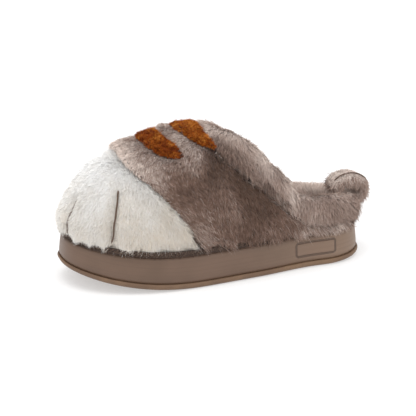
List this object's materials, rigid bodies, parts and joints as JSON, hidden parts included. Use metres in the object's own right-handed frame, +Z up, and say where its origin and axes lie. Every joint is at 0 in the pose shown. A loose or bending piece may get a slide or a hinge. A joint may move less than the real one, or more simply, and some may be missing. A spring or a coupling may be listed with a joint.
{
  "type": "animal slipper",
  "caption": "Plush clog slipper shaped as a cat's paw: striped fur upper with white toes, padded collar round an open heel, pull loop and moulded foam sole.",
  "frame": {"origin": "on the floor under the middle of the sole's length", "axes": "+X to the toe, +Y to the wearer's left, which is the outer side of this left slipper, +Z up"},
  "size_m": [0.2739, 0.1098, 0.1265],
  "materials": {
    "outsole_rubber": "tan moulded rubber, satin",
    "midsole_foam": "brown moulded foam, satin, fine horizontal streaks",
    "plush_lining": "short brown-grey plush",
    "binding": "dark brown woven strip",
    "white_fur": "warm white plush",
    "grey_fur": "grey-brown plush with light tips and dark roots",
    "ginger_fur": "curly ginger plush",
    "collar_fur": "pinkish grey-brown plush"
  },
  "bodies": {
    "root": {"outsole": "outsole_rubber", "midsole": "midsole_foam", "insole": "plush_lining", "welt": "binding", "toe_cap": "white_fur", "stripe_front": "ginger_fur", "stripe_rear": "ginger_fur", "upper": "grey_fur", "collar": "collar_fur", "pull_loop": "collar_fur"}
  },
  "joints": []
}
